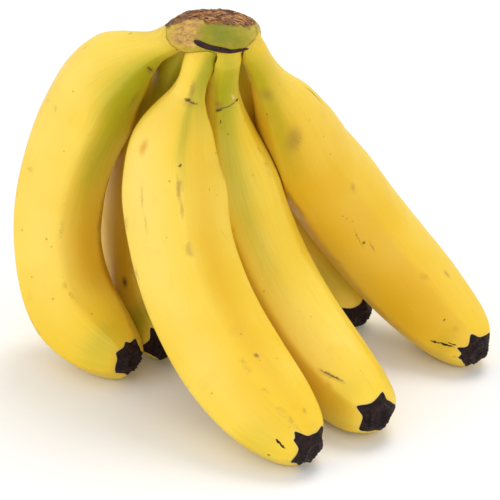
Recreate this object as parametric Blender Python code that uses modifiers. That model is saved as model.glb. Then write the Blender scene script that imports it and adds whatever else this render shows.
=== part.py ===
"""A hand of six bananas on one cut crown, standing unheld on its bellies and blossom ends.

Metres, +Z up, +X along the row of fruits, -Y the side that the blossom ends point to.
The origin is on the surface that the hand rests on, under the middle of its bounding box.
Each fruit is a tube along a centreline that bends in one plane: it leaves the crown at a point and
a heading, and turns through its curl, more in some stretches than in others.
"""

import math
from collections import namedtuple

import bmesh
import bpy
import numpy as np
from mathutils import Vector

MM = 0.001
DEG = math.pi / 180

# The gap between two fruits that press on each other, and between a fruit and the crown
TOUCH_GAP = 0.3 * MM
# How deep the heaviest contact is pressed flat by the surface under it
REST_DEPTH = 1.1 * MM

# The crown: a turned cushion, wider along the row than across it
CROWN_WIDTH = 38.5 * MM
CROWN_DEPTH = 28 * MM
CROWN_HEIGHT = 15.5 * MM
CROWN_STEPS = 32

# The peel has five soft ridges: how far each stands out, as a share of the fruit's radius
RIDGES = 5
RIDGE_RISE = 0.03
SECTION_POINTS = 20
STATIONS = 34

# The dry stub that each fruit ends in: how far it stands out of the fruit's blunt end, and its end's
# width as a share of the fruit's tip
STUB_LENGTH = 3 * MM
STUB_NARROWING = 0.82

# attach: mm from the middle of the crown, where the fruit's own line starts. root: mm that its neck runs
# back from there into the crown. heading: degrees anticlockwise from +X, and dip below level, in which
# the fruit leaves. roll: degrees that its bending plane is turned about the heading. curl: degrees that
# it turns through in all. early, late, last: how sharply it turns near the crown, at three quarters and
# at the end, against 1 at half way. length, girth, neck, tip: mm, the last three across. neck_end,
# shoulder, taper: where along the fruit the neck ends, the full girth starts and the taper starts.
# swells: places where one side stands out further, each as the share of the length at its middle, its
# spread as such a share, the degrees round from the inside of the bend, and mm.
Fruit = namedtuple(
    "Fruit",
    "name attach root heading dip roll curl early late last "
    "length girth neck tip neck_end shoulder taper swells",
)

# Later fruits give way to earlier ones where they press together
FRUITS = [
    Fruit(
        name="front_banana", attach=(-2.9, -5.9, -5.9), root=4,
        heading=163.7, dip=62.3, roll=-65.4, curl=97.3, early=1, late=0.7, last=0.65,
        length=181, girth=41, neck=13, tip=13.5, neck_end=0.06, shoulder=0.35, taper=0.6,
        swells=[(0.09, 0.05, 125, -1.9), (0.21, 0.07, 135, 3.3), (0.18, 0.05, 325, 1.5), (0.8, 0.18, 135, 1)],
    ),
    Fruit(
        name="left_banana", attach=(-15.6, 0.5, -3), root=3,
        heading=143.1, dip=27.2, roll=-81.6, curl=146.3, early=1.05, late=2.5, last=1.85,
        length=186, girth=38.5, neck=13, tip=12.2, neck_end=0.03, shoulder=0.27, taper=0.72,
        swells=[
            (0.04, 0.05, 165, -1.2), (0.17, 0.06, 165, 2.2), (0.22, 0.05, 345, -2),
            (0.5, 0.15, 120, -0.5), (0.83, 0.09, 120, 1.6),
        ],
    ),
    Fruit(
        name="second_banana", attach=(5.3, -5, -9.4), root=6,
        heading=102.2, dip=53.6, roll=-111.1, curl=121.5, early=0.8, late=0.8, last=0.65,
        length=189, girth=35.5, neck=12.5, tip=13, neck_end=0.07, shoulder=0.38, taper=0.7,
        swells=[],
    ),
    Fruit(
        name="right_banana", attach=(15.6, -1, -7.4), root=6,
        heading=60.9, dip=52.9, roll=-152.4, curl=93.7, early=0.2, late=1.2, last=1.05,
        length=190.5, girth=40.5, neck=11.5, tip=12.6, neck_end=0.03, shoulder=0.42, taper=0.59,
        swells=[(0.19, 0.06, 285, 1.5), (0.38, 0.07, 290, -2.2)],
    ),
    Fruit(
        name="back_left_banana", attach=(-7.4, 6.6, -4.5), root=2,
        heading=114.4, dip=52.9, roll=-81.2, curl=117, early=0, late=1.5, last=0.95,
        length=179, girth=36, neck=14, tip=13, neck_end=0.14, shoulder=0.42, taper=0.58,
        swells=[(0.12, 0.07, 110, 3)],
    ),
    Fruit(
        name="back_right_banana", attach=(8.5, 6.6, -3.4), root=2,
        heading=91.1, dip=44, roll=-124.6, curl=106.1, early=0.25, late=1.25, last=1,
        length=186, girth=36, neck=14, tip=13, neck_end=0.13, shoulder=0.43, taper=0.6,
        swells=[],
    ),
]


def smooth_step(x):
    x = np.clip(x, 0, 1)
    return x * x * (3 - 2 * x)


def stations():
    """Shares of a fruit's length, closer together towards its blunt blossom end."""
    return 1 - (1 - np.linspace(0, 1, STATIONS)) ** 1.35


def swell_sizes(fruit, shares):
    """(degrees round, mm out along the fruit) of each of its swells."""
    return [
        (turn, rise * np.exp(-(((shares - middle) / spread) ** 2)))
        for middle, spread, turn, rise in fruit.swells
    ]


def radii(fruit, shares):
    """A slim neck that swells to the girth, then a taper that closes like an egg on the blossom end."""
    neck, girth, tip = (value * MM / 2 for value in (fruit.neck, fruit.girth, fruit.tip))
    swelling = smooth_step((shares - fruit.neck_end) / (fruit.shoulder - fruit.neck_end))
    body = neck + (girth - neck) * swelling
    along = np.clip((shares - fruit.taper) / (1 - fruit.taper), 0, 1)
    round_off = (tip + (girth - tip) * np.sqrt(1 - along ** 2.6)) / girth
    return body * round_off + sum(size for _, size in swell_sizes(fruit, shares)) * MM / 2


def centreline(fruit, shares):
    """Points along the fruit, which bends in the plane of its heading and its roll, from the root's end to
    the stub's. A swell moves the line half its size and widens the fruit by the other half."""
    fine = np.linspace(0, 1, 401)
    sharpness = [fruit.early, fruit.early, 1, fruit.late, fruit.last]
    turning = np.interp(fine, [0, 0.25, 0.5, 0.75, 1], sharpness)
    turned = np.concatenate([[0], np.cumsum(turning[1:] + turning[:-1])])
    angle = fruit.curl * DEG * turned / turned[-1]
    heading, dip, roll = (value * DEG for value in (fruit.heading, -fruit.dip, fruit.roll))
    ahead = np.array([
        math.cos(dip) * math.cos(heading),
        math.cos(dip) * math.sin(heading),
        math.sin(dip),
    ])
    level = np.array([-math.sin(heading), math.cos(heading), 0])
    aside = math.cos(roll) * level + math.sin(roll) * np.cross(ahead, level)
    tangents = np.outer(np.cos(angle), ahead) + np.outer(np.sin(angle), aside)
    inwards = np.outer(-np.sin(angle), ahead) + np.outer(np.cos(angle), aside)
    steps = (tangents[1:] + tangents[:-1]) / 2 * fruit.length * MM / (len(fine) - 1)
    line = np.vstack([np.zeros(3), np.cumsum(steps, axis=0)]) + np.array(fruit.attach) * MM
    for turn, size in swell_sizes(fruit, fine):
        way = math.cos(turn * DEG) * inwards + math.sin(turn * DEG) * np.cross(ahead, aside)
        line += way * size[:, None] * MM / 2
    points = np.column_stack([np.interp(shares, fine, line[:, axis]) for axis in range(3)])
    return np.vstack([
        points[0] - ahead * fruit.root * MM,
        points,
        points[-1] + tangents[-1] * STUB_LENGTH,
    ])


def new_collection(name, hidden=False):
    collection = bpy.data.collections.new(name)
    bpy.context.scene.collection.children.link(collection)
    collection.hide_render = hidden
    return collection


def new_material(name, colour, roughness):
    material = bpy.data.materials.new(name)
    material.use_nodes = True
    shader = material.node_tree.nodes["Principled BSDF"]
    shader.inputs["Base Color"].default_value = (*colour, 1)
    shader.inputs["Roughness"].default_value = roughness
    shader.inputs["Metallic"].default_value = 0
    return material


def make_section(collection):
    """The peel's outline across the fruit, one metre in radius: a circle with five soft ridges."""
    curve = bpy.data.curves.new("peel_section", "CURVE")
    curve.dimensions = "2D"
    curve.fill_mode = "NONE"
    outline = curve.splines.new("POLY")
    outline.points.add(SECTION_POINTS - 1)
    for i, point in enumerate(outline.points):
        turn = 2 * math.pi * i / SECTION_POINTS
        radius = 1 + RIDGE_RISE * math.cos(RIDGES * turn)
        point.co = (radius * math.cos(turn), radius * math.sin(turn), 0, 1)
    outline.use_cyclic_u = True
    section = bpy.data.objects.new("peel_section", curve)
    section.hide_render = True
    collection.objects.link(section)
    return section


def make_tube(name, fruit, section, collection, grow=0.0):
    """The fruit's solid, grown outwards by grow, as a mesh with its origin where the fruit leaves the crown."""
    shares = stations()
    points = centreline(fruit, shares)
    thickness = radii(fruit, shares) + grow
    thickness = np.concatenate([thickness[:1], thickness, thickness[-1:] * STUB_NARROWING])
    start = points[0].copy()
    curve = bpy.data.curves.new(name + "_line", "CURVE")
    curve.dimensions = "3D"
    curve.bevel_mode = "OBJECT"
    curve.bevel_object = section
    curve.use_fill_caps = True
    line = curve.splines.new("POLY")
    line.points.add(len(points) - 1)
    for point, place, radius in zip(line.points, points - start, thickness):
        point.co = (*place, 1)
        point.radius = radius
    route = bpy.data.objects.new(name + "_route", curve)
    route.location = start
    collection.objects.link(route)
    bpy.context.view_layer.update()
    evaluated = route.evaluated_get(bpy.context.evaluated_depsgraph_get())
    mesh = bpy.data.meshes.new_from_object(evaluated)
    mesh.name = name
    weld_caps(mesh)
    tube = bpy.data.objects.new(name, mesh)
    tube.matrix_world = route.matrix_world
    collection.objects.link(tube)
    bpy.data.objects.remove(route)
    return tube


def weld_caps(mesh):
    work = bmesh.new()
    work.from_mesh(mesh)
    bmesh.ops.remove_doubles(work, verts=work.verts, dist=0.01 * MM)
    bmesh.ops.recalc_face_normals(work, faces=work.faces)
    work.to_mesh(mesh)
    work.free()
    mesh.shade_smooth()
    mesh.set_sharp_from_angle(angle=40 * DEG)


def crown_profile(grow):
    """(radius, height) from the top of the cut down the outside to the bottom: a domed cut, a swollen rim
    under it and a rounded underside, as shares of the crown's half width and half height."""
    half, rise = CROWN_WIDTH / 2 + grow, CROWN_HEIGHT / 2 + grow
    shape = [(0, 1), (0.35, 0.96), (0.66, 0.8), (0.86, 0.52), (0.97, 0.2), (1, -0.1), (0.95, -0.42)]
    shape += [(0.8, -0.74), (0.5, -0.95), (0, -1)]
    return [(half * across, rise * up) for across, up in shape]


def make_crown(name, collection, grow=0.0):
    """The turned cushion, squeezed across the row."""
    squeeze = (CROWN_DEPTH / 2 + grow) / (CROWN_WIDTH / 2 + grow)
    mesh = bpy.data.meshes.new(name)
    outline = [(x, 0, z) for x, z in crown_profile(grow)]
    mesh.from_pydata(outline, [(i, i + 1) for i in range(len(outline) - 1)], [])
    crown = bpy.data.objects.new(name, mesh)
    collection.objects.link(crown)
    crown.scale.y = squeeze
    turn = crown.modifiers.new("turn", "SCREW")
    turn.angle = 2 * math.pi
    turn.steps = CROWN_STEPS
    turn.render_steps = CROWN_STEPS
    turn.use_merge_vertices = True
    turn.merge_threshold = 0.01 * MM
    turn.use_smooth_shade = True
    return crown


def cut(target, cutter):
    """Takes cutter's shape out of target."""
    boolean = target.modifiers.new("clear_of_" + cutter.name, "BOOLEAN")
    boolean.operation = "DIFFERENCE"
    boolean.solver = "EXACT"
    boolean.object = cutter


def hide_cutter(cutter):
    cutter.hide_render = True
    cutter.display_type = "WIRE"


def boxes_meet(first, second):
    """Whether two objects' bounding boxes meet, so that one can press on the other."""
    ends = []
    for thing in (first, second):
        corners = np.array([thing.matrix_world @ Vector(corner) for corner in thing.bound_box])
        ends.append((corners.min(axis=0), corners.max(axis=0)))
    return bool((ends[0][0] < ends[1][1]).all() and (ends[1][0] < ends[0][1]).all())


def make_surface_cutter(top, span, collection):
    """A block under the level top, wider than the hand, that presses the contacts flat."""
    bpy.ops.mesh.primitive_cube_add(size=1)
    block = bpy.context.object
    block.name = "surface_under_hand"
    block.scale = (span, span, span)
    block.location = (0, 0, top - span / 2)
    for holder in list(block.users_collection):
        holder.objects.unlink(block)
    collection.objects.link(block)
    hide_cutter(block)
    return block


def world_bounds(things):
    """Lowest and highest corner of the things as they are with their modifiers."""
    bpy.context.view_layer.update()
    graph = bpy.context.evaluated_depsgraph_get()
    places = []
    for thing in things:
        evaluated = thing.evaluated_get(graph)
        mesh = evaluated.to_mesh()
        places += [evaluated.matrix_world @ vertex.co for vertex in mesh.vertices]
        evaluated.to_mesh_clear()
    places = np.array(places)
    return places.min(axis=0), places.max(axis=0)


def make_hand():
    parts = new_collection("banana_hand")
    cutters = new_collection("cutters", hidden=True)
    section = make_section(cutters)
    crown = make_crown("crown", parts)
    crown.data.materials.append(new_material("dry_crown", (0.22, 0.12, 0.05), 0.85))
    crown_cutter = make_crown("crown_room", cutters, grow=TOUCH_GAP)
    hide_cutter(crown_cutter)
    made = []
    earlier = []
    for fruit in FRUITS:
        banana = make_tube(fruit.name, fruit, section, parts)
        banana.data.materials.append(new_material(fruit.name + "_peel", (0.87, 0.62, 0.07), 0.42))
        cut(banana, crown_cutter)
        for room in earlier:
            if boxes_meet(banana, room):
                cut(banana, room)
        room = make_tube(fruit.name + "_room", fruit, section, cutters, grow=TOUCH_GAP)
        hide_cutter(room)
        earlier.append(room)
        made.append(banana)
    bpy.data.objects.remove(section)
    return parts, cutters, crown, crown_cutter, made, earlier


def rest_on_surface(parts, cutters, crown, crown_cutter, bananas, rooms):
    """Presses the lowest contacts flat and moves the hand to the middle of its own footprint at Z = 0."""
    lowest, highest = world_bounds(bananas)
    span = 3 * float((highest - lowest).max())
    block = make_surface_cutter(float(lowest[2]) + REST_DEPTH, span, cutters)
    for banana in bananas:
        cut(banana, block)
    low, high = world_bounds([crown, *bananas])
    hand = bpy.data.objects.new("hand", None)
    parts.objects.link(hand)
    for thing in (crown, crown_cutter, block, *bananas, *rooms):
        thing.parent = hand
    hand.location = (-(low[0] + high[0]) / 2, -(low[1] + high[1]) / 2, -low[2])


for old in list(bpy.data.objects):
    bpy.data.objects.remove(old)
rest_on_surface(*make_hand())
bpy.context.view_layer.update()
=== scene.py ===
"""The looks of a hand of six bananas: six peels, their dry blossom ends and the cut crown that holds them.

Metres, in the model's own frame. Every new piece is a grid of points worked out from formulas: a
fruit is a ridged outline carried along a line that bends in one plane, the crown is a turned profile.
"""

import math
from collections import namedtuple

import bpy
import numpy as np
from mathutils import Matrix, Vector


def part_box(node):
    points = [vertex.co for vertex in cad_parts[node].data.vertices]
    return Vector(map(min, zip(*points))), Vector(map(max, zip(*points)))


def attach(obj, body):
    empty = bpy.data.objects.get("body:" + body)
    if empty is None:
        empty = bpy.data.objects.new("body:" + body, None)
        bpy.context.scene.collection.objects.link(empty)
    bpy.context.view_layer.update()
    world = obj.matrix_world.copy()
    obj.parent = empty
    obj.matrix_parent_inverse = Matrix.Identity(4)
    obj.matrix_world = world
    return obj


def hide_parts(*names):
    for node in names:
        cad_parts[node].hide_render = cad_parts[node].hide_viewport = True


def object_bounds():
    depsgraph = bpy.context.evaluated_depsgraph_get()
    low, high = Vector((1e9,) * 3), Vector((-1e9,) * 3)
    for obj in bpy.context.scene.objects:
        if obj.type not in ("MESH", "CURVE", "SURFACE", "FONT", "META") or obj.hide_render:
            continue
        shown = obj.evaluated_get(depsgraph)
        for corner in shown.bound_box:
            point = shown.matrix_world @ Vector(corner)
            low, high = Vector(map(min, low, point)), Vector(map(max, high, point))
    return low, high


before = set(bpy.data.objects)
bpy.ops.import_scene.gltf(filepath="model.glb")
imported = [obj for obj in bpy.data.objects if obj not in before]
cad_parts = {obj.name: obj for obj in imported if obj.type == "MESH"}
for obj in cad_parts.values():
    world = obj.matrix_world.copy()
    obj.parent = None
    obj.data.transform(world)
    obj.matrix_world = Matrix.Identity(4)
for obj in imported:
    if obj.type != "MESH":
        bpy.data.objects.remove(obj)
cad_box = [list(corner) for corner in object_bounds()]

MM = 0.001
TURN = 2 * math.pi

# The same sizes as the solids have, so that a peel lies where its solid does
STUB_LENGTH = 3 * MM
STUB_NARROWING = 0.82
END_ROUNDNESS = 2.6  # the power that closes a fruit like an egg
CROWN_HALF = np.array([38.5, 28, 15.5]) / 2 * MM

# How fruits that press together and a peel on the crown keep clear of each other
TOUCH_GAP = 0.35 * MM
SEAM_GAP = 0.05 * MM
CROWN_ROOM = 1 + SEAM_GAP / (CROWN_HALF.mean() * 0.8)
HUG_BEFORE, HUG_AFTER = 0.03, 0.015  # shares of the length over which a peel lies down on the crown

# The peel's own relief
RIDGE_BLUR = 3.8  # degrees
LUMP_HEIGHT = 0.35 * MM
JOINT_SHARE = 0.112  # where the groove between neck and fruit runs
JOINT_WIDTH = 1.1  # mm
JOINT_DEPTH = 0.28 * MM

# How fine the grids and tables are
PEEL_ROWS = 300
PEEL_COLUMNS = 140
PEEL_TURNS = -math.pi + TURN * np.arange(PEEL_COLUMNS) / PEEL_COLUMNS
COLLAR_ROWS = 8
END_ROWS = 46
CROWN_ROWS = 150
CROWN_COLUMNS = 300
LINE_POINTS = 401
SPARE_SHARE = 0.1  # how far a fruit's line runs on past each end, as a share of its length
LATTICE = 32

# The first fields are the solid's own. ridges: degrees round from the inside of the bend, where the five
# edges of the peel run. facets: how flat the peel is between them. green: places of a green tint. The next
# field holds places of painted shade, a deeper orange yellow on the facets turned from the light, and pale
# holds places of a painted highlight, a paler yellow on the lit facets. Each place is share of the length,
# its spread, degrees round, their spread, and strength. arms: the blossom end's points, each as degrees
# round, degrees wide, and mm. marks: see peel_material.
Fruit = namedtuple(
    "Fruit",
    "name attach root heading dip roll curl early late last "
    "length girth neck tip neck_end shoulder taper swells "
    "ridges facets green gold pale arms marks",
)

FRUITS = [
    Fruit(
        name="front_banana", attach=(-2.9, -5.9, -5.9), root=4,
        heading=163.7, dip=62.3, roll=-65.4, curl=97.3, early=1, late=0.7, last=0.65,
        length=181, girth=41, neck=13, tip=13.5, neck_end=0.06, shoulder=0.35, taper=0.6,
        swells=[(0.09, 0.05, 125, -1.9), (0.21, 0.07, 135, 3.3), (0.18, 0.05, 325, 1.5), (0.8, 0.18, 135, 1)],
        ridges=(42, 114, 186, 256, 330), facets=0.52,
        green=[(0.03, 0.12, 8, 46, 1), (0.2, 0.12, 39, 10, 0.45), (0.93, 0.06, 100, 60, 0.3)],
        gold=[(0.75, 0.3, 20, 18, 0.35), (0.45, 0.3, 14, 24, 0.4), (0.8, 0.2, 60, 20, 0.2)],
        pale=[(0.32, 0.22, 92, 40, 0.8), (0.7, 0.3, 75, 25, 0.3)],
        arms=[(50, 11, 4.2), (64, 7, 2), (128, 16, 1.6), (192, 14, 1.5), (262, 15, 2.2), (338, 16, 2)],
        marks=[
            ("dark", 0.108, 50, 1.5, 2.4, 25, 0.95), ("dark", 0.113, 32, 0.7, 6, -10, 0.85),
            ("brown", 0.083, 46, 8, 2, 5, 0.6), ("brown", 0.114, 40, 3, 6, 0, 0.35),
            ("orange", 0.225, 92, 6, 3.4, 0, 0.75), ("brown", 0.33, 88, 10, 1.2, 0, 0.35),
            ("brown", 0.39, 86, 7, 1.3, 0, 0.3), ("brown", 0.31, 44, 12, 1.6, 0, 0.5),
            ("brown", 0.36, 42, 9, 1.4, 0, 0.45), ("dark", 0.25, 40, 1.5, 1.2, 0, 0.85),
            ("dark", 0.29, 53, 0.9, 0.8, 0, 0.4), ("dark", 0.318, 3, 1, 0.8, 0, 0.55),
            ("dark", 0.338, 351, 1.1, 0.9, 0, 0.5), ("brown", 0.45, 350, 5, 0.5, 30, 0.45),
            ("brown", 0.785, 22, 2.6, 2.4, 30, 0.95), ("dark", 0.8, 22, 1, 0.8, 0, 0.4),
            ("dark", 0.72, 24, 0.9, 1.2, 0, 0.35), ("dark", 0.79, 92, 1, 0.8, 0, 0.5),
            ("black", 0.968, 84, 4.6, 1.1, -22, 1), ("dark", 0.96, 112, 1, 0.9, 0, 0.8),
            ("brown", 0.955, 10, 2.5, 2, 0, 0.4), ("brown", 0.42, 205, 9, 3, 15, 0.5),
            ("dark", 0.44, 214, 1.4, 1, 0, 0.6), ("dark", 0.62, 168, 1.1, 0.9, 0, 0.5),
            ("brown", 0.7, 262, 16, 0.8, 6, 0.6), ("dark", 0.3, 236, 1, 1, 0, 0.5),
        ],
    ),
    Fruit(
        name="left_banana", attach=(-15.6, 0.5, -3), root=3,
        heading=143.1, dip=27.2, roll=-81.6, curl=146.3, early=1.05, late=2.5, last=1.85,
        length=186, girth=38.5, neck=13, tip=12.2, neck_end=0.03, shoulder=0.27, taper=0.72,
        swells=[
            (0.04, 0.05, 165, -1.2), (0.17, 0.06, 165, 2.2), (0.22, 0.05, 345, -2),
            (0.5, 0.15, 120, -0.5), (0.83, 0.09, 120, 1.6),
        ],
        ridges=(44, 112, 186, 268, 352), facets=0.6,
        green=[(0.1, 0.14, 30, 60, 0.75), (0.3, 0.2, 20, 26, 0.6), (0.5, 0.16, 18, 20, 0.3),
               (0.96, 0.05, 60, 60, 0.5)],
        gold=[(0.65, 0.18, 12, 24, 0.75), (0.8, 0.1, 340, 30, 0.5)],
        pale=[(0.3, 0.22, 110, 45, 0.6), (0.62, 0.2, 70, 30, 0.5)],
        arms=[(20, 12, 2.5), (60, 14, 1.8), (128, 16, 1.8), (200, 16, 1.5), (270, 16, 1.8), (338, 14, 2)],
        marks=[
            ("brown", 0.47, 98, 2.4, 3.4, 20, 0.28), ("dark", 0.615, 97, 1, 1, 0, 0.55),
            ("dark", 0.625, 60, 1, 0.9, 0, 0.5), ("dark", 0.645, 54, 0.8, 0.8, 0, 0.4),
            ("dark", 0.72, 88, 1, 0.9, 0, 0.5), ("dark", 0.79, 65, 1, 0.9, 0, 0.4),
            ("brown", 0.085, 13, 2.6, 5.5, -30, 0.6), ("dark", 0.082, 17, 1.1, 4, -30, 0.75),
            ("brown", 0.17, 8, 10, 2.5, 0, 0.35), ("brown", 0.3, 96, 3, 1.4, 30, 0.3),
            ("dark", 0.54, 110, 0.9, 0.7, 0, 0.35), ("dark", 0.095, 165, 0.8, 2, 0, 0.7),
            ("brown", 0.5, 190, 12, 4, -12, 0.45), ("dark", 0.51, 196, 2, 1.2, 0, 0.6),
            ("dark", 0.7, 222, 1.2, 1, 0, 0.55), ("brown", 0.35, 250, 14, 0.8, 8, 0.6),
        ],
    ),
    Fruit(
        name="second_banana", attach=(5.3, -5, -9.4), root=6,
        heading=102.2, dip=53.6, roll=-111.1, curl=121.5, early=0.8, late=0.8, last=0.65,
        length=189, girth=35.5, neck=12.5, tip=13, neck_end=0.07, shoulder=0.38, taper=0.7,
        swells=[],
        ridges=(46, 118, 190, 262, 330), facets=0.48,
        green=[(0.05, 0.13, 20, 80, 0.75), (0.25, 0.18, 25, 35, 0.45), (0.5, 0.22, 22, 22, 0.35),
               (0.95, 0.04, 40, 80, 0.3)],
        gold=[(0.75, 0.22, 66, 24, 0.75), (0.45, 0.2, 60, 16, 0.5)],
        pale=[(0.8, 0.15, 30, 30, 0.5)],
        arms=[(46, 14, 2.4), (110, 16, 1.8), (185, 16, 1.5), (262, 16, 1.8), (332, 14, 2.2)],
        marks=[
            ("dark", 0.127, 42, 1.8, 3, 15, 0.9), ("dark", 0.121, 20, 0.7, 5.4, 6, 0.8),
            ("dark", 0.117, 352, 0.7, 3.6, 6, 0.8), ("dark", 0.115, 336, 1.5, 1.6, 0, 1),
            ("pale", 0.1, 352, 3.4, 1.2, 14, 0.6), ("brown", 0.115, 44, 4, 4, 0, 0.5),
            ("dark", 0.158, 38, 1.8, 0.9, -20, 0.8), ("dark", 0.172, 38, 1, 0.6, 0, 0.4),
            ("dark", 0.19, 22, 1, 0.9, 0, 0.55), ("dark", 0.9, 33, 12, 0.8, 16, 0.8),
            ("brown", 0.9, 34, 14, 2.2, 16, 0.5), ("dark", 0.5, 15, 0.8, 0.7, 0, 0.3),
            ("brown", 0.86, 320, 6, 1, 10, 0.35), ("brown", 0.5, 200, 7, 3.5, 10, 0.5),
            ("dark", 0.66, 240, 1.2, 1, 0, 0.5), ("brown", 0.4, 262, 15, 0.8, -6, 0.6),
        ],
    ),
    Fruit(
        name="right_banana", attach=(15.6, -1, -7.4), root=6,
        heading=60.9, dip=52.9, roll=-152.4, curl=93.7, early=0.2, late=1.2, last=1.05,
        length=190.5, girth=40.5, neck=11.5, tip=12.6, neck_end=0.03, shoulder=0.42, taper=0.59,
        swells=[(0.19, 0.06, 285, 1.5), (0.38, 0.07, 290, -2.2)],
        ridges=(64, 134, 206, 278, 350), facets=0.38,
        green=[(0.04, 0.12, 40, 80, 0.65), (0.24, 0.17, 46, 30, 0.65), (0.96, 0.03, 40, 50, 0.45)],
        gold=[(0.5, 0.4, 20, 80, 0.6), (0.88, 0.16, 20, 60, 0.4)],
        pale=[],
        arms=[(38, 10, 3.2), (66, 12, 2), (130, 16, 1.6), (206, 16, 1.5), (278, 15, 2.4), (350, 15, 1.8)],
        marks=[
            ("brown", 0.235, 27, 13, 7, -26, 0.5), ("brown", 0.245, 24, 6, 3, -26, 0.5),
            ("dark", 0.238, 17, 1, 0.9, 0, 0.4), ("brown", 0.21, 293, 13, 1.1, 0, 0.8),
            ("brown", 0.11, 45, 7, 6, 0, 0.4), ("dark", 0.5, 21, 1, 0.8, 0, 0.5),
            ("dark", 0.513, 19, 0.9, 0.7, 0, 0.4), ("dark", 0.53, 15, 0.9, 0.7, 0, 0.4),
            ("dark", 0.605, 20, 1.6, 1.4, 0, 0.85), ("brown", 0.585, 22, 12, 0.7, -8, 0.6),
            ("brown", 0.63, 15, 8, 0.6, -8, 0.6), ("dark", 0.925, 10, 1.2, 1.1, 0, 0.8),
            ("black", 0.94, 50, 5, 0.7, 10, 1), ("black", 0.965, 44, 7, 0.9, 12, 1),
            ("black", 0.975, 36, 4, 0.6, 8, 1), ("orange", 0.96, 8, 3, 3, 0, 0.5),
            ("brown", 0.83, 316, 5, 2.5, 0, 0.5), ("dark", 0.16, 62, 1, 0.9, 0, 0.6),
            ("brown", 0.8, 350, 6, 3, 20, 0.25), ("dark", 0.32, 350, 0.8, 0.7, 0, 0.35),
            ("brown", 0.45, 190, 8, 4, -20, 0.5), ("dark", 0.46, 196, 1.6, 1.1, 0, 0.6),
            ("dark", 0.7, 220, 1.2, 1, 0, 0.5), ("brown", 0.62, 250, 18, 0.8, 5, 0.6),
        ],
    ),
    Fruit(
        name="back_left_banana", attach=(-7.4, 6.6, -4.5), root=2,
        heading=114.4, dip=52.9, roll=-81.2, curl=117, early=0, late=1.5, last=0.95,
        length=179, girth=36, neck=14, tip=13, neck_end=0.14, shoulder=0.42, taper=0.58,
        swells=[(0.12, 0.07, 110, 3)],
        ridges=(36, 108, 180, 252, 324), facets=0.5,
        green=[(0.12, 0.14, 30, 90, 1), (0.3, 0.12, 60, 40, 0.4), (0.95, 0.05, 60, 90, 0.7)],
        gold=[(0.5, 0.3, 30, 60, 0.6)],
        pale=[],
        arms=[(36, 14, 2.4), (108, 16, 1.8), (180, 16, 1.5), (252, 16, 1.8), (324, 14, 2.2)],
        marks=[
            ("brown", 0.83, 52, 7, 3.4, 0, 0.9), ("dark", 0.83, 52, 3, 1.4, 0, 0.6),
            ("dark", 0.5, 90, 1, 0.9, 0, 0.5), ("dark", 0.6, 200, 1.2, 1, 0, 0.5),
            ("brown", 0.45, 150, 10, 3.5, 12, 0.5), ("dark", 0.46, 156, 1.6, 1, 0, 0.6),
            ("brown", 0.65, 178, 16, 0.8, -5, 0.6), ("dark", 0.3, 215, 1, 0.9, 0, 0.5),
            ("dark", 0.78, 140, 1.2, 1, 0, 0.5), ("brown", 0.3, 120, 6, 2.5, 0, 0.4),
        ],
    ),
    Fruit(
        name="back_right_banana", attach=(8.5, 6.6, -3.4), root=2,
        heading=91.1, dip=44, roll=-124.6, curl=106.1, early=0.25, late=1.25, last=1,
        length=186, girth=36, neck=14, tip=13, neck_end=0.13, shoulder=0.43, taper=0.6,
        swells=[],
        ridges=(36, 108, 180, 252, 324), facets=0.5,
        green=[(0.1, 0.14, 30, 90, 0.7), (0.9, 0.08, 60, 90, 0.6)],
        gold=[(0.5, 0.3, 60, 60, 0.5)],
        pale=[],
        arms=[(36, 14, 3.4), (108, 16, 1.8), (180, 16, 1.5), (252, 16, 1.8), (324, 14, 2.2)],
        marks=[
            ("dark", 0.4, 160, 1.2, 1, 0, 0.5), ("brown", 0.55, 210, 6, 3, 0, 0.4),
            ("dark", 0.7, 120, 1, 1, 0, 0.5), ("dark", 0.56, 214, 1.6, 1.1, 0, 0.6),
            ("brown", 0.35, 180, 16, 0.8, 6, 0.6), ("brown", 0.72, 165, 8, 3, -18, 0.45),
            ("dark", 0.3, 130, 1, 0.9, 0, 0.5), ("dark", 0.82, 190, 1.2, 1, 0, 0.5),
        ],
    ),
]

FAR_GREEN = [(0.03, 0.1, 205, 75, 0.5), (0.95, 0.05, 215, 80, 0.35)]  # on every fruit's outer side


# ---- formulas

def smooth_step(x):
    """0 below 0, 1 above 1, and eased between them."""
    x = np.clip(x, 0, 1)
    return x * x * (3 - 2 * x)


def mottle(points, size, seed):
    """Smooth random values from -1 to 1: random numbers on a lattice whose cells have the given size, with
    each value eased between its cell's eight corners."""
    cells = points / size
    low = np.floor(cells).astype(int)
    eased = smooth_step(cells - low)
    draws = np.random.default_rng(seed).uniform(-1, 1, (LATTICE, LATTICE, LATTICE))
    total = np.zeros(points.shape[:-1])
    for corner in np.ndindex(2, 2, 2):
        weight = np.prod(np.where(np.array(corner) == 1, eased, 1 - eased), axis=-1)
        pick = (low + np.array(corner)) % LATTICE
        total += weight * draws[pick[..., 0], pick[..., 1], pick[..., 2]]
    return total


def round_gap(turns, centre):
    """Degrees from centre to each of the turns (radians) the short way round."""
    return (np.degrees(turns) - centre + 180) % 360 - 180


def swell_sizes(fruit, shares):
    """(degrees round, mm) of each swell or hollow at each share: a bell curve along the fruit."""
    return [
        (turn, rise * np.exp(-(((shares - middle) / spread) ** 2)))
        for middle, spread, turn, rise in fruit.swells
    ]


def body_radius(fruit, shares):
    """A slim neck that swells to the girth, then a taper that closes like an egg on the blossom end."""
    neck, girth, tip = (value * MM / 2 for value in (fruit.neck, fruit.girth, fruit.tip))
    swelling = smooth_step((shares - fruit.neck_end) / (fruit.shoulder - fruit.neck_end))
    body = neck + (girth - neck) * swelling
    along = np.clip((shares - fruit.taper) / (1 - fruit.taper), 0, 1)
    round_off = (tip + (girth - tip) * np.sqrt(1 - along ** END_ROUNDNESS)) / girth
    return body * round_off + sum(size for _, size in swell_sizes(fruit, shares)) * MM / 2


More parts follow.
